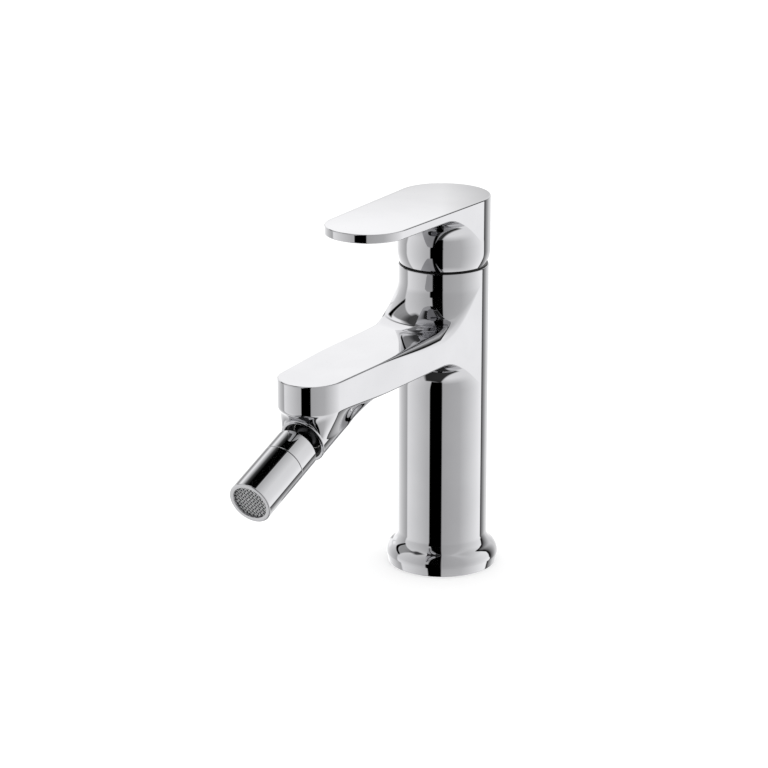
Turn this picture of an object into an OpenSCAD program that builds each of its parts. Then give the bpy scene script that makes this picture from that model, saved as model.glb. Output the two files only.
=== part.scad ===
// Single-lever bidet mixer: chromed column with a flat spout, a lever handle over a
// ceramic disc cartridge, and a nozzle that tips and turns on a ball in the spout's mouth.
// Millimetres. Origin: middle of the foot on the deck. +Z is up, the spout points along -Y.

/* [Column and foot] */
// Radius of the column
column_radius = 22.5; // [21.5:0.5:26]
// Height of the column's top rim above the deck
column_top = 156.6; // [154:0.2:170]
// Largest radius of the foot
foot_radius = 28.2; // [26.5:0.1:34]
// Height of the band round the foot
foot_band = 4.6; // [3.5:0.1:7]
// Edge round of the band
foot_round = 1.1; // [0.5:0.1:1.6]
// Radius of the hollow flare from foot to column
flare_radius = 11.5; // [8:0.5:16]

/* [Spout] */
// Distance from the column's axis to the axis of the rounded tip
spout_reach = 121.1; // [105:0.5:140]
// Radius of the rounded tip, seen from above
spout_tip_radius = 16.2; // [15:0.1:19]
// Height of the spout's flat top at the column's axis
spout_top = 131.7; // [128:0.1:134]
// Thickness of the spout
spout_thickness = 16.3; // [15:0.1:19]
// Angle by which the spout falls towards its tip
spout_fall = 0.63; // [0:0.01:2]
// Hollow round between spout top and column
top_fillet = 17.5; // [10:0.5:20]
// Hollow round between spout underside and column
under_fillet = 18; // [10:0.5:20]
// Metal under the water passage in the spout
passage_wall = 2.8; // [2:0.1:4]
// Radius of the sloping bore from the passage to the ball joint
mouth_bore = 4.4; // [4.1:0.1:5]

/* [Mouth] */
// Angle of the mouth's axis below the horizontal
mouth_angle = 20.7; // [18:0.1:26]
// How far the mouth's centre lies in front of the tip's axis
mouth_forward = 8.4; // [6:0.1:10]
// How far the mouth's centre lies below the spout's underside
mouth_drop = 13.3; // [12:0.1:15]
// Outer radius of the round mouth at its rim
mouth_radius = 11.6; // [11.2:0.1:13]
// Growth of the mouth's radius along its length into the arm
mouth_growth = 1.6; // [0.8:0.1:2.4]
// Length of the round mouth, most of it inside the arm
mouth_length = 76; // [74:1:80]

/* [Ball joint] */
// Radius of the swivel ball
ball_radius = 7.8; // [7:0.1:8]
// Depth of the ball's centre behind the mouth's rim
ball_depth = 8; // [7.5:0.1:9]
// Radius of the socket bored for ball and seats
socket_radius = 10; // [9.5:0.05:10.2]
// Depth of the socket
socket_depth = 12.5; // [12:0.1:14]
// Depth of the retaining ring's face behind the rim
retainer_depth = 1.8; // [1.2:0.1:2.2]
// Thickness of the retaining ring
retainer_thickness = 3.4; // [2.8:0.1:3.6]
// Thickness of the front seat
front_seat_thickness = 2.2; // [1.6:0.1:2.4]
// Thickness of the rear seat
rear_seat_thickness = 3.5; // [2.5:0.1:3.5]
// Radius of the neck between ball and collar
neck_radius = 4.6; // [4:0.1:4.8]
// Wall of the hollow neck
neck_wall = 1.4; // [1:0.1:1.8]
// Angle of the retaining ring's flared opening
retainer_flare = 22; // [18:0.5:24]
// Running clearance between ball and seats
ball_clearance = 0.05; // [0.02:0.01:0.1]

/* [Nozzle] */
// Outer radius of the nozzle
nozzle_radius = 10.8; // [10.2:0.05:11]
// Distance from the mouth's rim to the collar
collar_gap = 5.7; // [5:0.1:8]
// Length of the collar
collar_length = 12.7; // [11:0.1:16]
// Thickness of the collar's end wall
collar_wall = 2.8; // [2:0.1:3.5]
// Wall of the collar round its thread
collar_side = 1.85; // [1.5:0.05:2.2]
// Thickness of the seal inside the collar
collar_seal_thickness = 2; // [1.5:0.1:2.5]
// Length of the aerator housing that shows
housing_length = 29.05; // [26:0.05:36]
// Width of the seam between collar and housing
nozzle_seam = 0.25; // [0.1:0.05:0.5]
// Wall of the aerator housing at its lip
lip_wall = 1.65; // [1.2:0.05:2]
// Depth of the mesh behind the lip
mesh_depth = 1.6; // [1:0.1:3]
// Thickness of the mesh
mesh_thickness = 0.6; // [0.4:0.1:1]
// Spacing of the mesh's square gaps
mesh_pitch = 1.7; // [1.4:0.1:3]
// Width of the mesh's bars
mesh_bar = 0.55; // [0.4:0.05:0.7]
// Length of the aerator insert
insert_length = 14.5; // [10:0.5:18]
// Wall of the aerator insert
insert_wall = 1.2; // [0.8:0.1:1.6]
// Thickness of the insert's perforated floor
insert_floor = 2.4; // [1.6:0.1:3]
// Number of holes in the insert's floor
insert_holes = 8; // [4:1:8]
// Radius of the holes in the insert's floor
insert_hole_radius = 0.8; // [0.5:0.05:1]
// Radius of the circle the insert's holes stand on
insert_hole_circle = 4.6; // [4:0.1:5.2]
// Thickness of the aerator washer
washer_thickness = 1.2; // [0.8:0.1:2]

/* [Handle] */
// Radius of the handle's cap at the top
cap_radius = 23.2; // [22.5:0.1:26]
// Radius, seen from the side, of the cap's lower part that curves inwards
skirt_round = 21; // [20:0.5:40]
// Height of the cap's lower part that curves inwards
skirt_height = 7.2; // [4:0.2:7.4]
// Gap between column rim and cap
cap_gap = 1.2; // [1.1:0.1:3]
// Height of the cap from its lower edge to the flat top
cap_height = 33.9; // [31.5:0.1:40]
// Radius of the hollow inside the cap
cap_bore = 20; // [19.6:0.1:20.4]
// Thickness of metal above the hollow
cap_roof = 7.2; // [6:0.1:9]
// Distance from the cap's axis to the axis of the lever's rounded tip
lever_reach = 71.5; // [60:0.5:90]
// Radius of the lever's rounded tip
lever_tip_radius = 20.6; // [16:0.1:22]
// Thickness of the lever plate
lever_thickness = 4.4; // [3.8:0.1:6]
// Angle by which the lever rises towards its tip
lever_rise = 0.7; // [0:0.05:3]
// Hollow round between lever underside and cap
lever_fillet = 18; // [12:0.5:18]
// Angle of the cut behind the cap that lets the lever lift
relief_angle = 22; // [21:0.5:26]
// Radius of the handle's inner boss
boss_radius = 8.5; // [8:0.1:9]
// Height of the boss's lower end above the lever's pivot
boss_rise = 11.5; // [11.4:0.1:13]
// Height of the grub screw above the boss's lower end
screw_rise = 7; // [5:0.5:8]
// Radius of the grub screw
screw_radius = 2.5; // [2:0.1:3]
// Width across corners, halved, of the grub screw's hex socket
screw_key = 1.45; // [1.2:0.05:1.7]
// Radius of the plug over the grub screw
plug_radius = 3.2; // [3.1:0.1:4]
// Angle by which the lever lifts
lift_range = 20; // [15:0.5:20]

/* [Cartridge] */
// Radius of the cartridge
cartridge_radius = 17.4; // [16.8:0.1:17.6]
// Clearance round the cartridge in its bore
cartridge_clearance = 0.1; // [0.05:0.05:0.2]
// Depth of the cartridge's seat below the column's rim
seat_depth = 26.1; // [25.5:0.1:27]
// Thickness of the cartridge's base
base_thickness = 4.5; // [4:0.1:5]
// Thickness of each ceramic disc
disc_thickness = 3; // [2.5:0.1:3]
// Radius of the fixed disc
fixed_disc_radius = 14.4; // [14:0.1:14.5]
// Radius of the moving disc
moving_disc_radius = 12.2; // [11.5:0.1:12.3]
// Thickness of the carrier on the moving disc
carrier_thickness = 6; // [5.5:0.1:6]
// Radius of the cartridge housing's hollow
housing_bore = 14.6; // [14.5:0.05:14.8]
// Thickness of the swivel carrier's flange
flange_thickness = 3; // [2.5:0.1:3]
// Thickness of the cartridge housing's top
housing_roof = 2; // [1.5:0.1:2.2]
// Radius of the swivel carrier's neck
swivel_neck_radius = 10.5; // [10:0.1:10.6]
// Height of the swivel carrier's neck above the lever's pivot
swivel_neck_rise = 5.5; // [4:0.1:6]
// Outer radius of the cartridge nut
nut_radius = 19.4; // [19:0.1:19.8]
// Length of the nut's threaded skirt
nut_skirt = 6; // [4:0.1:7]
// Depth of the nut's top below the column's rim
nut_recess = 0.2; // [0.1:0.1:0.4]
// Width across corners, halved, of the nut's six-sided hole
nut_hex_radius = 15.2; // [14.8:0.1:16]
// Thickness of the temperature limit ring
limit_thickness = 2; // [1.5:0.1:3]
// Height of the lever's pivot above the column's rim
pivot_rise = 0.4; // [0.2:0.1:1]
// Radius of the pivot pin
pin_radius = 1.5; // [1.2:0.1:1.8]
// Distance from the pivot down to the spindle's ball end
spindle_arm = 11; // [10.5:0.1:11.2]
// Radius of the spindle's ball end
spindle_ball_radius = 2.8; // [2.4:0.1:2.9]
// Width of the spindle's square shaft
spindle_width = 7; // [6:0.1:7.4]
// Gap between the spindle's top and the cap's ceiling
spindle_gap = 2; // [1.5:0.1:3]
// Radius of the spindle's eye round the pin
eye_radius = 4.2; // [3.6:0.1:4.6]
// Radius of the spindle's arm below the eye
spindle_arm_radius = 2.2; // [1.8:0.1:2.3]
// Distance of the pin's ends inside the swivel carrier's neck
pin_inset = 1; // [0.6:0.1:1.5]
// Half the length of the slot the spindle swings in
slot_front = 7; // [6.5:0.1:7.5]
// Radius of the water ports for hot and cold
inlet_port_radius = 2.2; // [1.8:0.1:2.3]
// Distance of the hot and cold ports to each side
inlet_port_side = 7.6; // [7:0.1:8]
// Distance of the hot and cold ports in front of the axis
inlet_port_front = 2; // [1:0.1:2.5]
// Radius of the mixed water's port
outlet_port_radius = 3.8; // [3:0.1:4]
// Distance of the mixed water's port behind the axis
outlet_port_back = 6.5; // [6:0.1:7]
// Depth of the grooves for the seals under the cartridge
seal_groove = 1.2; // [1:0.1:1.6]
// Width of the seals under the cartridge
seal_width = 1.3; // [1:0.1:1.4]
// Rim round the mixing chamber in the moving disc
chamber_rim = 1.8; // [1.2:0.1:2]

/* [Cover ring] */
// Radius of the cover ring's flat flange
cover_flange_radius = 21.3; // [20.5:0.1:21.8]
// Thickness of the cover ring
cover_thickness = 0.7; // [0.5:0.1:0.8]
// Radius of the cover ring's dome
dome_radius = 18; // [17.5:0.1:18.3]
// Depth of the dome's centre below the column's rim
dome_drop = 6.5; // [6:0.1:7]

/* [Deck side] */
// Radius of the tapped inlets for hot and cold
inlet_radius = 4.5; // [4:0.1:5]
// Depth of the tapped inlets
inlet_depth = 12; // [8:0.5:16]
// Radius of the cored risers above the inlets
riser_radius = 6.5; // [5:0.1:7]
// Distance of the inlets and risers to each side
riser_side = 9.6; // [9:0.1:11]
// Distance of the risers' tops below the spout's underside
riser_drop = 1.4; // [1:0.1:4]
// Radius of the tapped hole for the fixing stud
stud_radius = 3.4; // [3:0.1:4.3]
// Depth of the tapped hole for the fixing stud
stud_depth = 15; // [10:0.5:20]
// Distance of the stud's hole behind the axis
stud_back = 13; // [12:0.1:14]
// Distance of the gasket's middle line inside the foot's edge
gasket_inset = 5.7; // [5:0.1:6.5]
// Width of the gasket
gasket_width = 3.6; // [2.5:0.1:4]
// Depth of the gasket's groove
gasket_depth = 2.2; // [1.5:0.1:2.6]

/* [Clearances] */
// Free clearance between pieces of different bodies
free_clearance = 0.3; // [0.2:0.05:0.4]
// Clearance of pieces that are screwed or slipped together
slip_clearance = 0.05; // [0.02:0.01:0.1]
// Running clearance of the pivot pin
pin_clearance = 0.03; // [0.02:0.01:0.08]
// Water film between the ceramic discs
disc_film = 0.02; // [0.01:0.01:0.05]

/* [Hidden] */
$fn = 96;
chrome = [0.82, 0.83, 0.85];
brass = [0.78, 0.65, 0.35];
steel = [0.6, 0.62, 0.64];
white_plastic = [0.9, 0.9, 0.88];
dark_plastic = [0.16, 0.16, 0.17];
ceramic = [0.93, 0.92, 0.88];
rubber = [0.08, 0.08, 0.08];
overlap = 1;
far = 200;
blend_inset = 0.15;
run_out = 0.05;

// Spout and mouth
function spout_face(y) = spout_top - y*tan(spout_fall);
function spout_under(y) = spout_face(y) - spout_thickness;
mouth_y = -spout_reach - mouth_forward;
mouth_z = spout_under(spout_reach) - mouth_drop;
boss_ceiling = spout_face(spout_reach) - spout_thickness/2;
passage_radius = outlet_port_radius;
passage_z = spout_under(0) + passage_radius + passage_wall;
mouth_back = mouth_length - ball_depth;

// Ball joint and nozzle, along the mouth's axis from the ball's centre
retainer_front = ball_depth - retainer_depth;
retainer_back = retainer_front - retainer_thickness;
front_seat_back = retainer_back - front_seat_thickness;
socket_floor = ball_depth - socket_depth;
rear_seat_front = socket_floor + rear_seat_thickness;
seat_sphere = ball_radius + ball_clearance;
function seat_opening(z) = sqrt(pow(seat_sphere, 2) - pow(z, 2));
collar_back = ball_depth + collar_gap;
collar_front = collar_back + collar_length;
housing_back = collar_front + nozzle_seam;
nozzle_end = housing_back + housing_length;
water_radius = neck_radius - neck_wall;
thread_radius = nozzle_radius - collar_side;
thread_back = collar_back + collar_wall + collar_seal_thickness;
neck_front = collar_back + collar_wall + collar_seal_thickness/2;
aerator_bore = nozzle_radius - lip_wall;
mesh_front = nozzle_end - mesh_depth;
mesh_back = mesh_front - mesh_thickness;
insert_back = mesh_back - insert_length;
washer_back = insert_back - washer_thickness;

// Cartridge, from its seat upwards
seat_z = column_top - seat_depth;
fixed_disc_z = seat_z + base_thickness;
moving_disc_z = fixed_disc_z + disc_thickness + disc_film;
carrier_z = moving_disc_z + disc_thickness;
flange_z = carrier_z + carrier_thickness + free_clearance;
housing_roof_z = flange_z + flange_thickness + free_clearance;
housing_top = housing_roof_z + housing_roof;
nut_top = column_top - nut_recess;
nut_bottom = housing_top - nut_skirt;
pivot_z = column_top + pivot_rise;
disc_travel = spindle_arm*sin(lift_range);
disc_rest = disc_travel/2;
spindle_ball_z = pivot_z - spindle_arm;
slot_side = spindle_width/2 + free_clearance;
water_ports = [
    [inlet_port_side, -inlet_port_front, inlet_port_radius],
    [-inlet_port_side, -inlet_port_front, inlet_port_radius],
    [0, outlet_port_back, outlet_port_radius]
];

// Foot
gasket_radius = foot_radius - gasket_inset;

// Handle
cap_bottom = column_top + cap_gap;
cap_top = cap_bottom + cap_height;
cap_ceiling = cap_top - cap_roof;
function lever_under(y) = cap_top - lever_thickness + y*tan(lever_rise);
boss_bottom = pivot_z + boss_rise;
screw_z = boss_bottom + screw_rise;
spindle_top = cap_ceiling - spindle_gap;
socket_half = spindle_width/2 + slip_clearance;

// Plan of an arm: straight sides that touch a root circle and a round tip, without the root circle
module arm_plan(root, tip, reach) {
    lean = asin((root - tip)/reach);
    polygon([
        [root*cos(lean), -root*sin(lean)],
        [tip*cos(lean), -reach - tip*sin(lean)],
        [-tip*cos(lean), -reach - tip*sin(lean)],
        [-root*cos(lean), -root*sin(lean)]
    ]);
    translate([0, -reach]) circle(tip);
}

// Arm of even thickness that rises by an angle towards its tip
module arm(root, tip, reach, top, thickness, rise) {
    span = reach + tip + overlap;
    climb = span*tan(rise);
    intersection() {
        translate([0, 0, top - thickness - abs(climb) - overlap])
            linear_extrude(thickness + 2*abs(climb) + 2*overlap) arm_plan(root, tip, reach);
        rotate([90, 0, -90]) translate([0, 0, -far/2]) linear_extrude(far)
            polygon([[0, top - thickness], [span, top - thickness + climb], [span, top + climb], [0, top]]);
    }
}

// Hollow round between a round post and the flat face of an arm, on one side of it;
// it runs out a little inside the face
module arm_fillet(post, hollow, face, side, root, tip, reach) {
    foot = face - side*run_out;
    low = side > 0 ? foot - overlap : foot - hollow;
    high = side > 0 ? foot + hollow : foot + overlap;
    intersection() {
        rotate_extrude() difference() {
            translate([post - overlap, low]) square([hollow + overlap, high - low]);
            translate([post + hollow, foot + side*hollow]) circle(hollow);
        }
        translate([0, 0, low - overlap])
            linear_extrude(high - low + 2*overlap) arm_plan(root, tip, reach);
    }
}

// Flat ring
module ring(outer, inner, thickness) {
    difference() {
        cylinder(h = thickness, r = outer);
        translate([0, 0, -overlap]) cylinder(h = thickness + 2*overlap, r = inner);
    }
}

// Frame of the nozzle: origin at the ball's centre, +Z out along the mouth's axis
module at_ball() {
    translate([0, mouth_y + ball_depth*cos(mouth_angle), mouth_z + ball_depth*sin(mouth_angle)])
        rotate([90 + mouth_angle, 0, 0]) children();
}

// Half of the column's outline: banded foot, hollow flare and straight shaft
module column_outline() {
    foot_inner = foot_radius - foot_round;
    flare_rise = sqrt(pow(flare_radius, 2) - pow(flare_radius - (foot_inner - column_radius), 2));
    flare_top = foot_band + flare_rise;
    square([foot_inner, foot_band]);
    translate([0, foot_round]) square([foot_radius, foot_band - 2*foot_round]);
    for (z = [foot_round, foot_band - foot_round])
        translate([foot_inner, z]) circle(foot_round);
    square([column_radius, column_top]);
    difference() {
        translate([0, foot_band - foot_round]) square([foot_inner, flare_rise + foot_round]);
        translate([column_radius + flare_radius, flare_top]) circle(flare_radius);
    }
}

// Waterways cored through the casting
module waterways() {
    for (side = [-1, 1]) {
        translate([side*riser_side, 0, -overlap]) cylinder(h = inlet_depth + 2*overlap, r = inlet_radius);
        translate([side*riser_side, 0, inlet_depth])
            cylinder(h = spout_under(0) - inlet_depth - riser_drop, r = riser_radius);
        translate([side*inlet_port_side, -inlet_port_front, spout_under(0) - riser_radius])
            cylinder(h = seat_z - spout_under(0) + riser_radius + overlap, r = inlet_port_radius);
    }
    translate([0, outlet_port_back, passage_z])
        cylinder(h = seat_z - passage_z + overlap, r = outlet_port_radius);
    meeting = (passage_z - mouth_z)/sin(mouth_angle);
    translate([0, outlet_port_back, passage_z]) rotate([90, 0, 0])
        cylinder(h = outlet_port_back - mouth_y - meeting*cos(mouth_angle), r = passage_radius);
    translate([0, outlet_port_back, passage_z]) sphere(passage_radius);
    at_ball() translate([0, 0, ball_depth - meeting - passage_radius])
        cylinder(h = meeting + passage_radius - socket_depth, r = mouth_bore);
}

// Blend from the round tip of the arm down to the rim of the mouth, stretched between two thin discs
module tip_blend() {
    hull() {
        translate([0, -spout_reach, spout_under(spout_reach)])
            cylinder(h = overlap, r = spout_tip_radius - blend_inset, $fn = 64);
        at_ball() translate([0, 0, ball_depth - 2*overlap])
            cylinder(h = overlap, r = mouth_radius - blend_inset, $fn = 64);
    }
}

module body_casting() {
    color(chrome) difference() {
        union() {
            rotate_extrude() column_outline();
            arm(column_radius, spout_tip_radius, spout_reach, spout_top, spout_thickness, -spout_fall);
            arm_fillet(column_radius, top_fillet, spout_face(column_radius + top_fillet), 1,
                       column_radius, spout_tip_radius, spout_reach);
            arm_fillet(column_radius, under_fillet, spout_under(column_radius + under_fillet), -1,
                       column_radius, spout_tip_radius, spout_reach);
            intersection() {
                at_ball() translate([0, 0, -mouth_back])
                    cylinder(h = mouth_length, r1 = mouth_radius + mouth_growth, r2 = mouth_radius);
                translate([-far/2, -far, 0]) cube([far, far, boss_ceiling]);
            }
            tip_blend();
        }
        translate([0, 0, seat_z]) cylinder(h = far, r = cartridge_radius + cartridge_clearance);
        translate([0, 0, nut_bottom - nut_recess]) cylinder(h = far, r = nut_radius + slip_clearance);
        waterways();
        at_ball() {
            translate([0, 0, socket_floor]) cylinder(h = socket_depth + overlap, r = socket_radius);
            translate([0, 0, ball_depth]) cylinder(h = far, r = mouth_radius);
            translate([0, 0, -ball_radius - overlap])
                cylinder(h = ball_radius, r = seat_opening(socket_floor) + slip_clearance);
        }
        translate([0, stud_back, -overlap]) cylinder(h = stud_depth + overlap, r = stud_radius);
        translate([0, 0, -overlap])
            ring(gasket_radius + gasket_width/2, gasket_radius - gasket_width/2, gasket_depth + overlap);
    }
}

module base_gasket() {
    color(rubber)
        ring(gasket_radius + gasket_width/2 - slip_clearance, gasket_radius - gasket_width/2 + slip_clearance,
             gasket_depth);
}

module cartridge_base() {
    color(dark_plastic) translate([0, 0, seat_z]) difference() {
        cylinder(h = base_thickness, r = cartridge_radius);
        for (port = water_ports) translate([port[0], port[1], -overlap]) {
            cylinder(h = base_thickness + 2*overlap, r = port[2]);
            cylinder(h = seal_groove + overlap, r = port[2] + seal_width);
        }
    }
}

module base_seals() {
    color(rubber) translate([0, 0, seat_z]) for (port = water_ports) translate([port[0], port[1], 0])
        ring(port[2] + seal_width - slip_clearance, port[2], seal_groove);
}

module fixed_disc() {
    color(ceramic) translate([0, 0, fixed_disc_z]) difference() {
        cylinder(h = disc_thickness, r = fixed_disc_radius);
        for (port = water_ports) translate([port[0], port[1], -overlap])
            cylinder(h = disc_thickness + 2*overlap, r = port[2]);
    }
}

module cartridge_housing() {
    color(white_plastic) translate([0, 0, fixed_disc_z]) difference() {
        cylinder(h = housing_top - fixed_disc_z, r = cartridge_radius);
        translate([0, 0, -overlap]) cylinder(h = housing_roof_z - fixed_disc_z + overlap, r = housing_bore);
        cylinder(h = far, r = swivel_neck_radius + free_clearance);
    }
}

module cartridge_nut() {
    color(brass) difference() {
        translate([0, 0, nut_bottom]) cylinder(h = nut_top - nut_bottom, r = nut_radius);
        translate([0, 0, nut_bottom - overlap])
            cylinder(h = housing_top - nut_bottom + overlap, r = cartridge_radius + cartridge_clearance);
        translate([0, 0, housing_top - overlap]) cylinder(h = far, r = nut_hex_radius, $fn = 6);
    }
}

module limit_ring() {
    color(dark_plastic) translate([0, 0, housing_top])
        ring(nut_hex_radius*cos(30) - free_clearance, swivel_neck_radius + free_clearance, limit_thickness);
}

// Half of the cover ring's outline: flat flange and a domed collar with an open top
module cover_outline() {
    opening = swivel_neck_radius + 2*free_clearance;
    intersection() {
        difference() {
            translate([0, -dome_drop]) circle(dome_radius);
            translate([0, -dome_drop]) circle(dome_radius - cover_thickness);
        }
        translate([opening, 0]) square([cover_flange_radius, far]);
    }
    foot = sqrt(pow(dome_radius - cover_thickness, 2) - pow(dome_drop, 2));
    translate([foot, 0]) square([cover_flange_radius - foot, cover_thickness]);
}

module dome_ring() {
    color(chrome) translate([0, 0, column_top]) rotate_extrude() cover_outline();
}

module rear_ball_seat() {
    color(rubber) at_ball() difference() {
        translate([0, 0, socket_floor]) cylinder(h = rear_seat_thickness, r = socket_radius - slip_clearance);
        sphere(seat_sphere);
    }
}

module ball_retainer() {
    throat = seat_opening(retainer_back) + free_clearance;
    color(dark_plastic) at_ball() difference() {
        translate([0, 0, retainer_back]) cylinder(h = retainer_thickness, r = socket_radius - slip_clearance);
        translate([0, 0, retainer_back - slip_clearance])
            cylinder(h = retainer_thickness + 2*slip_clearance, r1 = throat,
                     r2 = throat + retainer_thickness*tan(retainer_flare));
    }
}

module front_ball_seat() {
    color(white_plastic) at_ball() difference() {
        translate([0, 0, front_seat_back])
            cylinder(h = front_seat_thickness - disc_film, r = socket_radius - free_clearance);
        sphere(seat_sphere);
    }
}

module swivel_ball() {
    color(chrome) at_ball() difference() {
        union() {
            sphere(ball_radius);
            cylinder(h = neck_front, r = neck_radius);
        }
        translate([0, 0, -far/2]) cylinder(h = far, r = water_radius);
    }
}

module nozzle_collar() {
    color(chrome) at_ball() difference() {
        translate([0, 0, collar_back]) cylinder(h = collar_length, r = nozzle_radius);
        cylinder(h = far, r = neck_radius + slip_clearance);
        translate([0, 0, collar_back + collar_wall]) cylinder(h = far, r = thread_radius);
    }
}

module collar_seal() {
    color(rubber) at_ball() translate([0, 0, collar_back + collar_wall])
        ring(thread_radius - slip_clearance, neck_radius + slip_clearance,
             thread_back - collar_back - collar_wall);
}

module aerator_housing() {
    color(chrome) at_ball() difference() {
        union() {
            translate([0, 0, housing_back]) cylinder(h = housing_length, r = nozzle_radius);
            translate([0, 0, thread_back])
                cylinder(h = housing_back - thread_back + overlap, r = thread_radius - slip_clearance);
        }
        cylinder(h = far, r = thread_radius - lip_wall);
        translate([0, 0, washer_back]) cylinder(h = far, r = aerator_bore);
    }
}

module aerator_washer() {
    color(rubber) at_ball() translate([0, 0, washer_back])
        ring(aerator_bore - slip_clearance, thread_radius - lip_wall, washer_thickness);
}

// Cup with a perforated floor that mixes air into the water
module aerator_insert() {
    cup_radius = aerator_bore - slip_clearance;
    color(white_plastic) at_ball() translate([0, 0, insert_back]) difference() {
        cylinder(h = insert_length, r = cup_radius);
        translate([0, 0, insert_floor]) cylinder(h = far, r = cup_radius - insert_wall);
        for (i = [1:insert_holes]) rotate([0, 0, i*360/insert_holes])
            translate([insert_hole_circle, 0, -overlap]) cylinder(h = far, r = insert_hole_radius);
    }
}

// Round screen with square gaps; only whole gaps inside the rim are cut
module aerator_mesh() {
    screen_radius = aerator_bore - slip_clearance;
    gap = mesh_pitch - mesh_bar;
    reach = floor(screen_radius/mesh_pitch);
    color(steel) at_ball() translate([0, 0, mesh_back]) difference() {
        cylinder(h = mesh_thickness, r = screen_radius);
        for (i = [-reach:reach], j = [-reach:reach])
            if (norm([(abs(i) + 0.5)*mesh_pitch, (abs(j) + 0.5)*mesh_pitch]) < screen_radius)
                translate([i*mesh_pitch - gap/2, j*mesh_pitch - gap/2, -overlap])
                    cube([gap, gap, mesh_thickness + 2*overlap]);
    }
}

module swivel_carrier() {
    color(white_plastic) difference() {
        union() {
            translate([0, 0, flange_z]) cylinder(h = flange_thickness, r = housing_bore - free_clearance);
            translate([0, 0, flange_z])
                cylinder(h = pivot_z + swivel_neck_rise - flange_z, r = swivel_neck_radius);
        }
        translate([-slot_side, -slot_front, flange_z - overlap]) cube([2*slot_side, 2*slot_front, far]);
        translate([0, 0, pivot_z]) rotate([0, 90, 0])
            cylinder(h = far, r = pin_radius + pin_clearance, center = true);
    }
}

module pivot_pin() {
    half = swivel_neck_radius - pin_inset;
    color(steel) translate([-half, 0, pivot_z]) rotate([0, 90, 0]) cylinder(h = 2*half, r = pin_radius);
}

// Lever stem: square shaft above, eye on the pin, round arm with a ball end below
module spindle() {
    half = spindle_width/2;
    color(steel) difference() {
        union() {
            translate([-half, -half, pivot_z]) cube([spindle_width, spindle_width, spindle_top - pivot_z]);
            translate([-half, 0, pivot_z]) rotate([0, 90, 0]) cylinder(h = spindle_width, r = eye_radius);
            translate([0, 0, spindle_ball_z]) cylinder(h = spindle_arm, r = spindle_arm_radius);
            translate([0, 0, spindle_ball_z]) sphere(spindle_ball_radius);
        }
        translate([0, 0, pivot_z]) rotate([0, 90, 0])
            cylinder(h = far, r = pin_radius + pin_clearance, center = true);
    }
}

module disc_carrier() {
    pocket_floor = spindle_ball_z - spindle_ball_radius - free_clearance;
    pocket_half = spindle_ball_radius + free_clearance;
    color(dark_plastic) difference() {
        translate([0, disc_rest, carrier_z]) cylinder(h = carrier_thickness, r = moving_disc_radius);
        translate([-pocket_half, -pocket_half, pocket_floor]) cube([2*pocket_half, 2*pocket_half, far]);
    }
}

module moving_disc() {
    chamber_depth = disc_thickness/2;
    chamber_edge = inlet_port_radius - inlet_port_front + free_clearance;
    color(ceramic) translate([0, 0, moving_disc_z]) difference() {
        translate([0, disc_rest, 0]) cylinder(h = disc_thickness, r = moving_disc_radius);
        intersection() {
            translate([0, disc_rest, -overlap])
                cylinder(h = chamber_depth + overlap, r = moving_disc_radius - chamber_rim);
            translate([-far/2, chamber_edge, -far/2]) cube(far);
        }
    }
}

// Half of the cap's outline: straight above, curving inwards towards the lower edge
module cap_outline() {
    translate([0, skirt_height]) square([cap_radius, cap_height - skirt_height + 2*overlap]);
    intersection() {
        square([cap_radius, skirt_height]);
        translate([cap_radius - skirt_round, skirt_height]) circle(skirt_round, $fn = 192);
    }
}

module handle() {
    color(chrome) difference() {
        union() {
            translate([0, 0, cap_bottom]) rotate_extrude() cap_outline();
            arm(cap_radius, lever_tip_radius, lever_reach, cap_top + overlap, lever_thickness + overlap,
                lever_rise);
            arm_fillet(cap_radius, lever_fillet, lever_under(cap_radius + lever_fillet), -1,
                       cap_radius, lever_tip_radius, lever_reach);
        }
        translate([0, 0, cap_top]) rotate([-lever_rise, 0, 0]) translate([-far/2, -far/2, 0]) cube(far);
        difference() {
            translate([0, 0, cap_bottom - overlap])
                cylinder(h = cap_ceiling - cap_bottom + overlap, r = cap_bore);
            translate([0, 0, boss_bottom]) cylinder(h = far, r = boss_radius);
        }
        translate([-socket_half, -socket_half, boss_bottom - overlap])
            cube([2*socket_half, 2*socket_half, spindle_top - boss_bottom + 2*overlap]);
        translate([0, 0, screw_z]) rotate([-90, 0, 0]) {
            cylinder(h = boss_radius + overlap, r = screw_radius + slip_clearance);
            translate([0, 0, (boss_radius + cap_bore)/2]) cylinder(h = far, r = plug_radius + slip_clearance);
        }
        translate([0, 0, cap_bottom]) rotate([relief_angle, 0, 0])
            translate([-far/2, 0, -far]) cube([far, far, far]);
    }
}

module grub_screw() {
    tip = spindle_width/2;
    color(steel) translate([0, tip, screw_z]) rotate([-90, 0, 0]) difference() {
        cylinder(h = boss_radius - tip, r = screw_radius);
        translate([0, 0, (boss_radius - tip)/2]) cylinder(h = far, r = screw_key, $fn = 6);
    }
}

// Plug over the screw's hole, with an outer face that follows the cap
module index_plug() {
    color(chrome) intersection() {
        translate([0, cap_bore, screw_z]) rotate([-90, 0, 0]) cylinder(h = far, r = plug_radius);
        translate([0, 0, screw_z - far/2]) cylinder(h = far, r = cap_radius);
    }
}

body_casting();
base_gasket();
cartridge_base();
base_seals();
fixed_disc();
cartridge_housing();
cartridge_nut();
limit_ring();
dome_ring();
rear_ball_seat();
ball_retainer();
swivel_carrier();
pivot_pin();
handle();
spindle();
grub_screw();
index_plug();
disc_carrier();
moving_disc();
front_ball_seat();
swivel_ball();
nozzle_collar();
collar_seal();
aerator_housing();
aerator_washer();
aerator_insert();
aerator_mesh();
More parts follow.
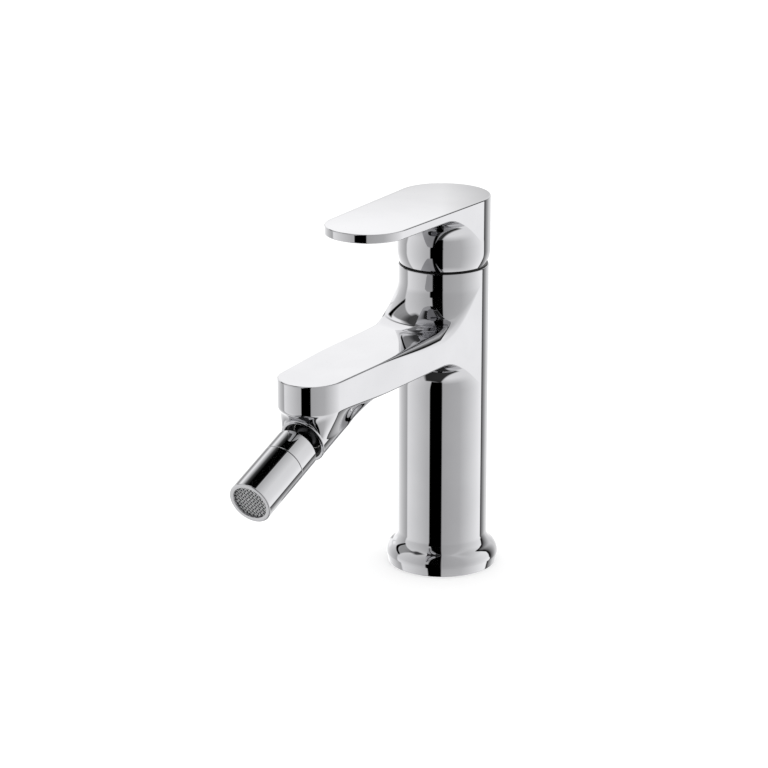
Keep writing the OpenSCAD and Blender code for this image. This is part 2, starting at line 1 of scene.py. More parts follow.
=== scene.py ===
# %% [markdown]
# # A single-lever bidet mixer, dressed in chrome
#
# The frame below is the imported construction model: 27 named pieces on six bodies. This lesson keeps
# every hidden solid and gives it a finish, and it replaces the solids that show by finer skins worked
# out with numpy. A mirror shows every flaw of a surface, so each skin is a smooth function of two
# parameters.

# %% Load the frame
import math

import bmesh
import bpy
import numpy as np
from mathutils import Matrix, geometry


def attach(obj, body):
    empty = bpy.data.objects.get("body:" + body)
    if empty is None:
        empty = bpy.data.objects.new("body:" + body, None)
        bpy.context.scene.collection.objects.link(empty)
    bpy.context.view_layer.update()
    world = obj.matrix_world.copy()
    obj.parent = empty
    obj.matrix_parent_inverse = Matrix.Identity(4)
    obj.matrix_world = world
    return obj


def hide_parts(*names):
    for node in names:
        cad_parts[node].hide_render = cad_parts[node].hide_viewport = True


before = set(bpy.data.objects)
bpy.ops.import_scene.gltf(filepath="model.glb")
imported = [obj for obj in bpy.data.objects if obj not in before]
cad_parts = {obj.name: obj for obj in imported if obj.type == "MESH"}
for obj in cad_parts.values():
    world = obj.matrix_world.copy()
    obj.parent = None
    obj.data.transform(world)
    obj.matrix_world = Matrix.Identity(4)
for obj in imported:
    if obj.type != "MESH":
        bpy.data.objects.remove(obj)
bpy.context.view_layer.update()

# %% [markdown]
# ## The camera
#
# The photograph was taken from in front, a little to the right and above, with a long lens. The angles
# and the distance were found by matching outlines of the solids with the photograph. A camera looks
# along its own -Z, so its matrix holds three directions: right, up and back towards the viewer.

# %% Camera
azimuth = math.radians(31.48)
elevation = math.radians(17.89)
camera_distance = 1.5733
shift_left = 0.029527
shift_up = 0.088805
right = np.array([math.cos(azimuth), math.sin(azimuth), 0.0])
back = np.array([math.sin(azimuth)*math.cos(elevation), -math.cos(azimuth)*math.cos(elevation),
                 math.sin(elevation)])
up = np.cross(back, right)
place = camera_distance*back - shift_left*right + shift_up*up
lens = bpy.data.cameras.new("camera")
lens.sensor_width = 36.0
lens.lens = 144.2
camera = bpy.data.objects.new("camera", lens)
camera.matrix_world = Matrix([[right[i], up[i], back[i], place[i]] for i in range(3)] + [[0, 0, 0, 1]])
bpy.context.scene.collection.objects.link(camera)
bpy.context.scene.camera = camera
print("camera at", place.round(3))

# %% [markdown]
# ## Skins from sheets of points
#
# A sheet is a grid of points, rows by columns, in millimetres. Its faces join neighbours, and a sheet
# that goes all the way round also joins its last column to its first. A piece is sewn from several
# sheets whose borders share their points, so that the doubles can be merged into one closed skin. The
# alternative, cutting and joining solids in Blender, leaves long thin faces that spoil a mirror.

# %% Sewing sheets into a piece
mm = 0.001
same_point = 2e-6
no_length = 1e-7


def sheet_faces(rows, columns, around):
    """Corner numbers of a grid's faces, counted row by row; around joins the last column to the first."""
    number = np.arange(rows*columns).reshape(rows, columns)
    if around:
        number = np.concatenate([number, number[:, :1]], axis=1)
    corners = [number[:-1, :-1], number[1:, :-1], number[1:, 1:], number[:-1, 1:]]
    return np.stack(corners, axis=-1).reshape(-1, 4)


def sew(name, sheets, finish, body, nodes, crease=32, plates=()):
    """One closed piece from sheets and plates: a sheet is a grid of points and whether it goes around, a
    plate is a list of points and its triangles."""
    points = [grid.reshape(-1, 3) for grid, around in sheets] + [corners for corners, fill in plates]
    fills = [sheet_faces(*grid.shape[:2], around) for grid, around in sheets]
    fills += [fill for corners, fill in plates]
    starts = np.cumsum([0] + [len(group) for group in points])
    faces = sum([(fill + start).tolist() for fill, start in zip(fills, starts)], [])
    mesh = bpy.data.meshes.new(name)
    mesh.from_pydata((np.concatenate(points)*mm).tolist(), [], faces)
    work = bmesh.new()
    work.from_mesh(mesh)
    bmesh.ops.remove_doubles(work, verts=work.verts, dist=same_point)
    bmesh.ops.dissolve_degenerate(work, edges=work.edges, dist=no_length)
    bmesh.ops.recalc_face_normals(work, faces=work.faces)
    open_edges = sum(len(edge.link_faces) != 2 for edge in work.edges)
    work.to_mesh(mesh)
    work.free()
    mesh.shade_smooth()
    mesh.set_sharp_from_angle(angle=math.radians(crease))
    mesh.materials.append(finish)
    piece = bpy.data.objects.new(name, mesh)
    bpy.context.scene.collection.objects.link(piece)
    even = piece.modifiers.new("even_normals", "WEIGHTED_NORMAL")
    even.keep_sharp = True
    even.weight = 50
    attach(piece, body)
    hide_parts(*nodes)
    print(name, "faces:", len(mesh.polygons), "open edges:", open_edges)


print("a sheet of 3 by 4 points has", len(sheet_faces(3, 4, False)), "faces")

# %% [markdown]
# ## Profiles and turned forms
#
# Most of a mixer is turned on a lathe, so a profile carried round an axis gives its form exactly. A
# corner is never quite sharp on plated brass: polishing rounds it by a fraction of a millimetre, and
# that small arc catches a thin bright line. `rounded` puts such arcs into a profile.

# %% Profiles
def rounded(corners, radii, steps=7):
    """An outline through corners, where an arc of the corner's radius touches both sides of each corner."""
    corners = np.asarray(corners, float)
    pieces = []
    for i, radius in enumerate(radii):
        corner = corners[i]
        if radius == 0:
            pieces.append(corner[None])
            continue
        before = corners[i - 1] - corner
        after = corners[(i + 1) % len(corners)] - corner
        before /= np.linalg.norm(before)
        after /= np.linalg.norm(after)
        half = 0.5*math.acos(np.clip(before @ after, -1, 1))
        middle = (before + after)/np.linalg.norm(before + after)
        centre = corner + middle*radius/math.sin(half)
        first = corner + before*radius/math.tan(half) - centre
        last = corner + after*radius/math.tan(half) - centre
        share = np.linspace(0, 1, steps)[:, None]
        opening = math.pi - 2*half
        arc = (np.sin((1 - share)*opening)*first + np.sin(share*opening)*last)/math.sin(opening)
        pieces.append(centre + arc)
    return np.concatenate(pieces)


def turned(profile, turns, origin=(0, 0, 0), across=(1, 0, 0), sideways=(0, -1, 0), along=(0, 0, 1)):
    """Carries a profile of (radius, height) round an axis:
    origin + radius*(cos(turn)*across + sin(turn)*sideways) + height*along."""
    radius = profile[:, 0][:, None, None]
    height = profile[:, 1][:, None, None]
    ring = np.cos(turns)[:, None]*np.array(across) + np.sin(turns)[:, None]*np.array(sideways)
    return np.array(origin) + radius*ring[None] + height*np.array(along)


def full_turn(count):
    """Angles of a whole turn without the last, which is the first again."""
    return np.arange(count)*2*math.pi/count


soft_square = rounded([(0, 0), (1, 0), (1, 1), (0, 1)], [0.1]*4)
print("a square with rounded corners has", len(soft_square), "points")

# %% [markdown]
# ## Shader maths as Python expressions
#
# A finish is a small network of nodes. They could be added one by one, which is hard to read. So `Link`
# wraps a socket: a formula such as `1 - mask` adds its Math nodes by itself, and `node` adds any other
# node from its settings and inputs.

# %% Shader helpers
class Link:
    """A socket of a shader, with operators that add Math nodes."""

    def __init__(self, tree, socket):
        self.tree = tree
        self.socket = socket

    def node(self, kind, settings, inputs, output=0):
        """Adds a node, sets it, and joins or sets its inputs; gives a Link to one of its outputs."""
        made = self.tree.nodes.new(kind)
        for name, value in settings.items():
            if name == "stops":
                for element, (position, colour) in zip(made.color_ramp.elements, value):
                    element.position = position
                    element.color = colour
            else:
                setattr(made, name, value)
        for name, value in inputs.items():
            if isinstance(value, Link):
                self.tree.links.new(value.socket, made.inputs[name])
            else:
                made.inputs[name].default_value = value
        return Link(self.tree, made.outputs[output])

    def maths(self, operation, first, second):
        return self.node("ShaderNodeMath", {"operation": operation}, {0: first, 1: second})

    def __add__(self, other):
        return self.maths("ADD", self, other)

    def __radd__(self, other):
        return self.maths("ADD", other, self)

    def __sub__(self, other):
        return self.maths("SUBTRACT", self, other)

    def __rsub__(self, other):
        return self.maths("SUBTRACT", other, self)

    def __mul__(self, other):
        return self.maths("MULTIPLY", self, other)

    def __rmul__(self, other):
        return self.maths("MULTIPLY", other, self)

    def __truediv__(self, other):
        return self.maths("DIVIDE", self, other)

    def __rtruediv__(self, other):
        return self.maths("DIVIDE", other, self)


def new_finish(name):
    """An empty material with its shader and a Link to the object's own coordinates."""
    finish = bpy.data.materials.new(name)
    finish.use_nodes = True
    shader = finish.node_tree.nodes["Principled BSDF"]
    coordinates = finish.node_tree.nodes.new("ShaderNodeTexCoord")
    return finish, shader, Link(finish.node_tree, coordinates.outputs["Object"])


def over(value, low, high, start=0.0, end=1.0):
    """Goes from start to end while value goes from low to high, and holds both ends."""
    return value.node("ShaderNodeMapRange", {"interpolation_type": "LINEAR"},
                      {"Value": value, "From Min": low, "From Max": high, "To Min": start, "To Max": end})


def feed(shader, **values):
    """Joins Links and sets plain values on the shader's sockets, named with underscores for spaces."""
    for name, value in values.items():
        socket = shader.inputs[name.replace("_", " ")]
        if isinstance(value, Link):
            value.tree.links.new(value.socket, socket)
        else:
            socket.default_value = value


# %% [markdown]
# ## Finishes with a grain
#
# No finish is quite even: polishing leaves faint clouds in chrome, and turning, moulding and lapping
# leave a fine grain. So each finish here lets its colour and its roughness follow the same noise, from
# a low value to a high one. Chrome plate is a slightly cool mirror that returns a little over half of
# the light, so the studio's walls, not the metal, have to be bright.

# %% Chrome and steel
def cloudy(place, scale, detail=3.0):
    """Soft noise over a place, with scale clouds to the metre."""
    return place.node("ShaderNodeTexNoise", {}, {"Vector": place, "Scale": scale, "Detail": detail})


def grained(name, low, high, scale, gloss, gloss_change, metallic=0.0, detail=3.0):
    """A finish whose colour goes from low to high and whose roughness is gloss + gloss_change*noise."""
    finish, shader, place_on = new_finish(name)
    grain = cloudy(place_on, scale, detail)
    stops = [(0.3, (*low, 1)), (0.7, (*high, 1))]
    colour = grain.node("ShaderNodeValToRGB", {"stops": stops}, {"Fac": grain})
    feed(shader, Base_Color=colour, Metallic=metallic, Roughness=gloss + gloss_change*grain)
    return finish


chrome = grained("chrome_plate", (0.535, 0.535, 0.55), (0.565, 0.565, 0.58), 45.0, 0.02, 0.02, 1.0)
# painted shade: a chrome made dark for the ball, which sits deep in the mouth's shade
shade_painted_chrome = grained("shade_painted_chrome", (0.03, 0.03, 0.032), (0.05, 0.05, 0.054), 300.0, 0.2, 0.1, 1.0)
steel = grained("brushed_steel", (0.55, 0.56, 0.58), (0.68, 0.69, 0.71), 900.0, 0.22, 0.12, 1.0, 2.0)
bright_steel = grained("bright_steel", (0.84, 0.84, 0.85), (0.95, 0.95, 0.96), 900.0, 0.3, 0.12, 1.0, 2.0)
print("finishes:", [finish.name for finish in (chrome, shade_painted_chrome, steel, bright_steel)])

# %% [markdown]
# ## The nozzle
#
# The nozzle is two turned sleeves on a ball: a short collar, a fine seam and the longer aerator housing
# with a lip that turns in over the screen. They are profiles carried round the mouth's own axis, which
# points forward and 20.7 degrees down. The ball sits deep in the shade of the mouth, so its chrome is
# painted dark: painted shade.

# %% Mouth axis
slant = math.radians(20.7)
ball_middle = np.array([0.0, -122.0164, 103.5962])
outward = np.array([0.0, -math.cos(slant), -math.sin(slant)])
crosswise = np.array([1.0, 0.0, 0.0])
lift = np.cross(outward, crosswise)


def on_mouth(profile, turns):
    """A profile of (radius, distance from the ball's middle) turned about the mouth's axis."""
    return turned(np.asarray(profile, float), turns, ball_middle, crosswise, lift, outward)


print("mouth points to", outward.round(3))

# %% Collar, housing and ball
fine_turn = full_turn(192)
ball_radius = 7.8
ball_reach = np.radians([-65.78, 53.9])


def closed_ring(profile):
    """A closed outline of (radius, distance) turned about the mouth's axis: one sheet that goes around."""
    return [(on_mouth(np.vstack([profile, profile[:1]]), fine_turn), True)]


collar = rounded([(4.65, 13.7), (10.8, 13.7), (10.8, 26.4), (8.95, 26.4), (8.95, 16.5), (4.65, 16.5)],
                 [0.15, 0.45, 0.18, 0.1, 0.2, 0.15])
housing = rounded([(7.3, 18.5), (8.9, 18.5), (8.9, 26.65), (10.8, 26.65), (10.8, 55.7), (8.6, 55.7),
                   (8.6, 54.45), (9.15, 54.45), (9.15, 37.8), (7.3, 37.8)],
                  [0.2, 0.3, 0.1, 0.18, 0.5, 0.3, 0.2, 0.1, 0.1, 0.1])
ball_turn = np.linspace(*ball_reach, 60)
ball_outline = np.vstack([ball_radius*np.stack([np.cos(ball_turn), np.sin(ball_turn)], axis=1),
                          [(4.6, 6.9), (4.6, 17.4), (3.2, 17.4)]])
sew("nozzle_sleeve_collar", closed_ring(collar), chrome, "nozzle", ["nozzle_collar"])
sew("nozzle_sleeve_housing", closed_ring(housing), chrome, "nozzle", ["aerator_housing"])
sew("nozzle_ball", closed_ring(ball_outline), shade_painted_chrome, "nozzle", ["swivel_ball"])

# %% [markdown]
# ## The aerator's screen
#
# The grid in the nozzle's end is woven from bright steel wire. Each wire is a small tube along a gently
# waved line, over one crossing wire and under the next; the two sets of wires wave in opposite steps.

# %% Woven screen
def wires(count, pitch, radius, reach, depth, sign, sides=6, steps=90):
    """Wires of one direction of the weave: each is a ring of points carried along the wave
    0.8*radius*cos(pi*along/pitch), cut to the chord of a circle of radius reach."""
    offset = (np.arange(count) - (count - 1)/2)*pitch
    half = np.sqrt(np.maximum(reach**2 - offset**2, 0.04))
    share = np.linspace(-1, 1, steps)
    along = half[:, None]*share[None]
    step = np.where(np.arange(count) % 2 == 0, 1.0, -1.0)[:, None]
    wave = sign*step*0.8*radius*np.cos(math.pi*along/pitch)
    ring = full_turn(sides)
    side = offset[:, None, None] + radius*np.cos(ring)[None, None]
    height = depth + wave[:, :, None] + radius*np.sin(ring)[None, None]
    along = np.broadcast_to(along[:, :, None], height.shape)
    side = np.broadcast_to(side, height.shape)
    return along, side, height


def screen_sheets(count=13, pitch=1.45, radius=0.27, reach=8.95, depth=53.9):
    """Both directions of the weave as sheets about the mouth's axis, turned half a right angle, with closed
    ends."""
    sheets = []
    for sign in (1, -1):
        along, side, height = wires(count, pitch, radius, reach, depth, sign)
        first = (along - sign*side)/math.sqrt(2)
        second = (sign*along + side)/math.sqrt(2)
        points = (ball_middle + first[..., None]*crosswise + second[..., None]*lift
                  + height[..., None]*outward)
        centres = points.mean(axis=2, keepdims=True)
        ends = np.repeat(centres[:, [0, -1]], points.shape[2], axis=2)
        closed = np.concatenate([ends[:, :1], points, ends[:, 1:]], axis=1)
        sheets.extend((tube, True) for tube in closed)
    return sheets


sew("nozzle_screen", screen_sheets(), bright_steel, "nozzle", ["aerator_mesh"], crease=80)

# %% [markdown]
# ## An arm that grows out of a round column
#
# The spout and the lever are the same kind of form: a flat arm whose side walls touch the column's
# round and the round of its own tip, with a large hollow between its face and the column. Its long edge
# runs up through the hollow and dies out where wall and column meet. The round of that edge is the
# track of a ball rolling inside it, so its place is worked out from where such a ball touches the face
# and the wall. The ball may change its size along the arm, because on the casting the edge is softer
# near the column than at the tip. Blender's Bevel can't follow an edge that dies out, so the track is
# computed. Heights of an underside are taken upside down, so that both faces share this.

# %% Arm edges
def smooth_step(share):
    """Eases from 0 to 1."""
    share = np.clip(share, 0, 1)
    return share*share*(3 - 2*share)


def hollow_hub(root, hollow, level, fall):
    """Height of the hollow's middle in an upright plane where the face has the slope fall:
    level + fall*(root + hollow) + hollow*sqrt(1 + fall**2)."""
    return level + fall*(root + hollow) + hollow*np.sqrt(1 + fall**2)


def arm_edge(root, tip, reach, hollow, level, climb, tip_ball, hollow_ball, change, hug, run, nose):
    """Stations of a ball rolling along an arm's edge: up the hollow, along the flat face, round the tip.

    The ball's middle lies its radius inside the wall, which is the line touching the column's and the
    tip's circle, and its radius inside the face, which is an arc of radius hollow in each upright plane
    through the column's axis and then the plane level + climb*forward. The ball has the radius
    hollow_ball in the hollow and changes to tip_ball over the part of the straight run between the two
    shares in change. There are hug stations in the hollow, one for each share in run, and nose round
    the tip. Bearing and slope depend on each other, so they are settled by repeating."""
    lean = math.asin((root - tip)/reach)
    wall = np.array([math.cos(lean), math.sin(lean)])
    ahead = np.array([-math.sin(lean), math.cos(lean)])
    share = np.linspace(0, 1, hug)
    bearing = np.full(hug, math.pi/2 - lean)
    for _ in range(20):
        fall = climb*np.cos(bearing)
        turn = share*(math.pi/2 + np.arctan(fall))
        radius = root + hollow - (hollow + hollow_ball)*np.cos(turn)
        travel = np.sqrt(np.maximum(radius**2 - (root - hollow_ball)**2, 0))
        plan = (root - hollow_ball)*wall + travel[:, None]*ahead
        bearing = np.arctan2(plan[:, 0], plan[:, 1])
    height = hollow_hub(root, hollow, level, fall) - (hollow + hollow_ball)*np.sin(turn)
    face = np.stack([np.cos(turn)*np.sin(bearing), np.cos(turn)*np.cos(bearing), np.sin(turn)], axis=1)
    end = reach*math.cos(lean)
    run_ball = hollow_ball + (tip_ball - hollow_ball)*smooth_step((run - change[0])/(change[1] - change[0]))
    straight = (root - run_ball)[:, None]*wall + (travel[-1] + (end - travel[-1])*run)[:, None]*ahead
    swing = np.linspace(math.pi/2 - lean, 0, nose)[1:]
    around = np.stack([np.sin(swing), np.cos(swing)], axis=1)
    front = np.array([0, reach]) + (tip - tip_ball)*around
    flat = np.concatenate([straight, front])
    steep = math.sqrt(1 + climb**2)
    balls = np.concatenate([np.full(hug, hollow_ball), run_ball, np.full(nose - 1, tip_ball)])
    centre = np.column_stack([np.concatenate([plan, flat]),
                              np.concatenate([height, level + climb*flat[:, 1] - balls[hug:]*steep])])
    outward_wall = np.column_stack([np.concatenate([np.tile(wall, (hug + len(run), 1)), around]),
                                    np.zeros(len(centre))])
    outward_face = np.concatenate([face, np.tile(np.array([0, -climb, 1])/steep, (len(flat), 1))])
    return {"middle": centre, "wall": outward_wall, "face": outward_face, "bearing": bearing,
            "share": share, "balls": balls[:, None, None],
            "touch_wall": centre + balls[:, None]*outward_wall,
            "touch_face": centre + balls[:, None]*outward_face}


# %% Arm sheets
def hollow_sheet(root, hollow, level, climb, edge, columns):
    """The hollow: rows of equal share of its arc, columns of equal share of the bearing, from straight
    ahead to the edge."""
    bearing = edge["bearing"][:, None]*np.linspace(0, 1, columns)
    fall = climb*np.cos(bearing)
    turn = edge["share"][:, None]*(math.pi/2 + np.arctan(fall))
    radius = root + hollow - hollow*np.cos(turn)
    height = hollow_hub(root, hollow, level, fall) - hollow*np.sin(turn)
    return np.stack([radius*np.sin(bearing), radius*np.cos(bearing), height], axis=-1)


def round_strip(middle, first, last, ball, steps=9):
    """The ball's track: at each station an arc about its middle, from its first touching direction to its
    last."""
    share = np.linspace(0, 1, steps)[None, :, None]
    opening = np.maximum(np.arccos(np.clip((first*last).sum(axis=1), -1, 1)), 1e-6)[:, None, None]
    arc = (np.sin((1 - share)*opening)*first[:, None] + np.sin(share*opening)*last[:, None])/np.sin(opening)
    return middle[:, None] + ball*arc


def ruled(first, last, rows):
    """Straight lines from each point of one border to its partner on the other, from first to last."""
    share = np.linspace(0, 1, rows)[:, None, None]
    return (1 - share)*first[None] + share*last[None]


def flat_sheet(hollow_foot, edge_points, level, climb, bow_run=0.4):
    """A flat face: its first row is the hollow's foot, whose bow fades out over the share bow_run of the
    rows, its last column is the edge, and its height is level + climb*forward."""
    share = np.linspace(0, 1, hollow_foot.shape[0])
    row = np.linspace(0, 1, len(edge_points))
    fade = (np.clip(1 - row/bow_run, 0, 1)**2*(1 + 2*np.clip(row/bow_run, 0, 1)))[:, None]
    side = edge_points[:, 0][:, None]*(share + fade*(hollow_foot[:, 0]/hollow_foot[-1, 0] - share))
    forward = edge_points[:, 1][:, None] + fade*(hollow_foot[:, 1] - hollow_foot[-1, 1])
    sheet = np.stack([side, forward, level + climb*forward], axis=-1)
    sheet[0] = hollow_foot
    sheet[:, -1] = edge_points
    return sheet


def upright(points, flip):
    """From (side, forward, height) to the frame's x, y, z; flip is -1 for heights taken upside down."""
    return points*np.array([1, -1, flip])


def both_sides(sheets):
    """The sheets of one side and their mirror images."""
    return [(sheet*np.array(mirror), False) for sheet in sheets for mirror in ((1, 1, 1), (-1, 1, 1))]


print("half way, a smooth step is at", smooth_step(0.5))

# %% [markdown]
# ## The spout's edges
#
# On the body the arm's top falls by 0.63 degrees towards the tip and its underside keeps the same
# slope. Both edges have the same number of stations, so the wall between them is made of straight
# lines. The top's edge is soft by the column and crisp at the tip; the underside's edge softens towards
# the mouth.

# %% Spout edges
column_radius = 22.5
slope = math.tan(math.radians(0.63))
spout = {"root": column_radius, "tip": 16.2, "reach": 121.1}
spout_run = np.concatenate([np.linspace(0, 0.55, 12)[1:], np.linspace(0.55, 1, 33)[1:]])
spout_stations = {"hug": 33, "run": spout_run, "nose": 33}
hug = spout_stations["hug"]
hollow_columns = 25
crown_face = {"hollow": 17.5, "level": 131.7, "climb": -slope}
belly_face = {"hollow": 18.0, "level": -115.4, "climb": slope}
crown = arm_edge(**spout, **crown_face, **spout_stations, tip_ball=0.8, hollow_ball=4.5, change=(0.0, 0.65))
belly = arm_edge(**spout, **belly_face, **spout_stations, tip_ball=2.8, hollow_ball=0.8, change=(0.5, 1.0))
crown_hollow = hollow_sheet(column_radius, **crown_face, edge=crown, columns=hollow_columns)
belly_hollow = hollow_sheet(column_radius, **belly_face, edge=belly, columns=hollow_columns)
crown_flat = flat_sheet(crown_hollow[-1], crown["touch_face"][hug - 1:], crown_face["level"],
                        crown_face["climb"])
print("spout's front:", crown["touch_wall"][-1].round(2))

# %% [markdown]
# ## The mouth
#
# Under the tip the casting swells into a round, tilted mouth. It is drawn by rails: each starts along
# the underside, or off the round of its edge, aims at the mouth and runs out straight along the mouth's
# axis. A cubic curve with given ends and directions does that. Where a rail leaves a round edge sets
# how long that edge stays crisp.

# %% Where the rails start
join = hug + 10
crisp_until = 98.0
side_sweep = math.radians(74)
front_sweep = math.radians(34)
ellipse_back = 46.0
ellipse_count = 36
edge_forward = belly["middle"][join:, 1]
edge_count = len(edge_forward)
nose_count = spout_stations["nose"] - 1
leave = math.pi/2 - side_sweep*smooth_step((edge_forward - crisp_until)/(spout["reach"] - crisp_until))
nose_share = np.arange(1, nose_count + 1)/nose_count
leave[-nose_count:] = math.radians(16) + front_sweep*smooth_step(nose_share)
leaving = np.cos(leave)[:, None]*belly["wall"][join:] + np.sin(leave)[:, None]*belly["face"][join:]
side_point = belly["touch_face"][join]
ellipse_turn = np.linspace(0, math.pi/2, ellipse_count)
ellipse_ahead = side_point[1] - (side_point[1] - ellipse_back)*np.cos(ellipse_turn)
ellipse = np.column_stack([side_point[0]*np.sin(ellipse_turn), ellipse_ahead,
                           belly_face["level"] + belly_face["climb"]*ellipse_ahead])
ellipse[-1] = side_point
rail_start = np.concatenate([ellipse[:-1], belly["middle"][join:] + belly["balls"][join:, 0]*leaving])
rail_normal = np.concatenate([np.tile(belly["face"][-1], (ellipse_count - 1, 1)), leaving])
print("rails:", len(rail_start))

# %% Mouth rails
rim_radius = 11.6
rim_front = 8.0
rim_side = 7.5
steps_along = np.linalg.norm(np.diff(rail_start, axis=0), axis=1)
travel = np.concatenate([[0], np.cumsum(steps_along)])
corner = ellipse_count - 1
# Four rails have a given turn round the rim: the first, at the corner, before the nose, and the last.
keys = travel[[0, corner, corner + edge_count - nose_count - 1, -1]]
key_turns = np.radians([-90, -52, 2, 90])
rim_turn = np.polyval(np.polyfit(keys, key_turns, 3), travel)
flipped = np.array([1, -1, -1])
mouth_out = outward*flipped
rim_way = np.cos(rim_turn)[:, None]*crosswise + np.sin(rim_turn)[:, None]*(lift*flipped)
rim_edge = ball_middle*flipped + rim_side*mouth_out + rim_radius*rim_way
# The straight part of a rail is 0.5 long in front and up to 26 at the back.
plain = 0.5 + 25.5*smooth_step((0.3 - np.sin(rim_turn))/1.1)
rail_end = rim_edge - plain[:, None]*mouth_out
chord = rail_end - rail_start
length = np.linalg.norm(chord, axis=1)[:, None]
aim = chord - (chord*rail_normal).sum(axis=1)[:, None]*rail_normal
aim /= np.linalg.norm(aim, axis=1)[:, None]
# A rail in front lands along its chord, and a rail at the back lands along the mouth's axis.
direct = smooth_step((np.sin(rim_turn) + 0.35)/0.85)[:, None]
land = (1 - direct)*mouth_out + direct*chord/length
land /= np.linalg.norm(land, axis=1)[:, None]
step = np.linspace(0, 1, 28)[:, None, None]
rails = ((2*step**3 - 3*step**2 + 1)*rail_start + (step**3 - 2*step**2 + step)*length*aim
         + (3*step**2 - 2*step**3)*rail_end + (step**3 - step**2)*length*land)
rails = np.concatenate([rails, ruled(rail_end, rim_edge, 9)[1:]])
print("mouth rails:", rails.shape, "rim turn steps:", np.degrees(np.diff(rim_turn)).min().round(2))

# %% [markdown]
# ## The body
#
# Everything else of the casting is turned about the column's axis: the foot, the column, and the bore
# for the cartridge. The foot is an ogee, a hollow arc that runs smoothly into a swelling one, above a
# band that tapers to the deck. The column's front is cut by the two hollows, so its sheets share their
# points with them.

# %% Foot and rim
flare_radius = 7.0
swell_radius = 7.8
swell_middle = np.array([20.4, 4.6])
flare_side = column_radius + flare_radius - swell_middle[0]
flare_top = swell_middle[1] + math.sqrt((flare_radius + swell_radius)**2 - flare_side**2)
flare_end = math.asin((flare_top - swell_middle[1])/(flare_radius + swell_radius))
flare_turn = np.linspace(0, flare_end, 17)
flare = np.column_stack([column_radius + flare_radius*(1 - np.cos(flare_turn)),
                         flare_top - flare_radius*np.sin(flare_turn)])
swell_turn = np.linspace(flare_turn[-1], 0, 17)[1:]
swell = swell_middle + swell_radius*np.column_stack([np.cos(swell_turn), np.sin(swell_turn)])
foot_band = rounded([(28.2, 4.6), (27.25, 0), (24.3, 0), (24.3, 2.2), (20.7, 2.2), (20.7, 0)],
                    [0, 0.35, 0.2, 0, 0, 0])
foot = np.vstack([flare, swell, foot_band[1:]])
rim = rounded([(22.5, 150), (22.5, 156.6), (19.45, 156.6), (19.45, 146), (17.5, 146), (17.5, 130.5),
               (0, 130.5)], [0, 0.45, 0.3, 0, 0.2, 0, 0])[1:]
print("foot profile:", foot.shape, "rim profile:", rim.shape)


# %% Column and mouth sheets
def column_point(bearing, radius, height):
    """Points on circles about the column's axis, with bearing 0 straight ahead."""
    bearing, radius, height = np.broadcast_arrays(bearing, radius, height)
    return np.stack([radius*np.sin(bearing), -radius*np.cos(bearing), height], axis=-1)


def levels(bottoms, tops, rows):
    """Rows of heights evenly spread between two borders."""
    return np.linspace(0, 1, rows)[:, None]*(tops - bottoms)[None] + bottoms[None]


side_bearing = crown["bearing"][0]
front_bearings = np.linspace(0, 1, hollow_columns)*side_bearing
back_bearings = np.linspace(side_bearing, math.pi, 64)
half_turn = np.concatenate([front_bearings, back_bearings[1:]])
crown_rows = crown_hollow[0, :, 2]
belly_rows = -belly_hollow[0, :, 2]
low_front = levels(np.full(hollow_columns, flare_top), belly_rows, 14)
high_front = levels(crown_rows, np.full(hollow_columns, rim[0, 1]), 6)
wall_back = levels(belly_rows[-1:], crown_rows[-1:], 12)
back_heights = np.concatenate([low_front[:, -1], wall_back[1:-1, 0], high_front[:, -1]])
wall = ruled(upright(belly["touch_wall"], -1), upright(crown["touch_wall"], 1), 12)
mouth_profile = rounded([(rim_radius, rim_side), (rim_radius, rim_front), (10, rim_front), (10, -4.5),
                         (0, -4.5)], [0, 0.4, 0.35, 0.2, 0])
belly_strip = round_strip(belly["middle"][:join + 1], belly["face"][:join + 1], belly["wall"][:join + 1],
                          belly["balls"][:join + 1])
mouth_strip = round_strip(belly["middle"][join:], leaving, belly["wall"][join:], belly["balls"][join:])
outer_loop = np.concatenate([belly_hollow[-1], belly["touch_face"][hug:join + 1]])
print("column rows:", len(back_heights))


# %% Body casting
def drilled_plate(border, holes, height, sides=48):
    """A flat plate inside a border with round holes of (x, y, radius, depth): its points and triangles,
    and for each hole a sheet that goes down the wall and over the floor to its middle."""
    turns = full_turn(sides)
    circles = [np.column_stack([x + radius*np.cos(turns), y + radius*np.sin(turns), np.full(sides, height)])
               for x, y, radius, depth in holes]
    loops = [border] + circles
    fill = geometry.tessellate_polygon([[tuple(point) for point in loop] for loop in loops])
    drops = [np.stack([circle, circle + (0, 0, depth), np.tile((x, y, height + depth), (sides, 1))])
             for circle, (x, y, radius, depth) in zip(circles, holes)]
    return (np.concatenate(loops), np.array(fill)), [(drop, True) for drop in drops]


body_sheets = both_sides([
    upright(round_strip(crown["middle"], crown["face"], crown["wall"], crown["balls"]), 1),
    upright(crown_hollow, 1), upright(crown_flat, 1), wall,
    upright(belly_strip, -1), upright(mouth_strip, -1), upright(belly_hollow, -1),
    upright(ruled(outer_loop, ellipse, 7), -1), upright(rails, -1), on_mouth(mouth_profile, rim_turn),
    column_point(front_bearings, column_radius, low_front),
    column_point(front_bearings, column_radius, high_front),
    column_point(back_bearings, column_radius, back_heights[:, None]),
    column_point(half_turn, foot[:, :1], foot[:, 1:]), column_point(half_turn, rim[:, :1], rim[:, 1:])])
whole_ring = np.concatenate([half_turn, -half_turn[-2:0:-1]])
inlets_and_stud = [(-9.6, 0, 4.5, 12), (9.6, 0, 4.5, 12), (0, 13, 3.4, 15)]
underside, drillings = drilled_plate(column_point(whole_ring, 20.7, 0.0), inlets_and_stud, 0.0)
sew("body_skin", body_sheets + drillings, chrome, "base", ["body_casting"], plates=[underside])

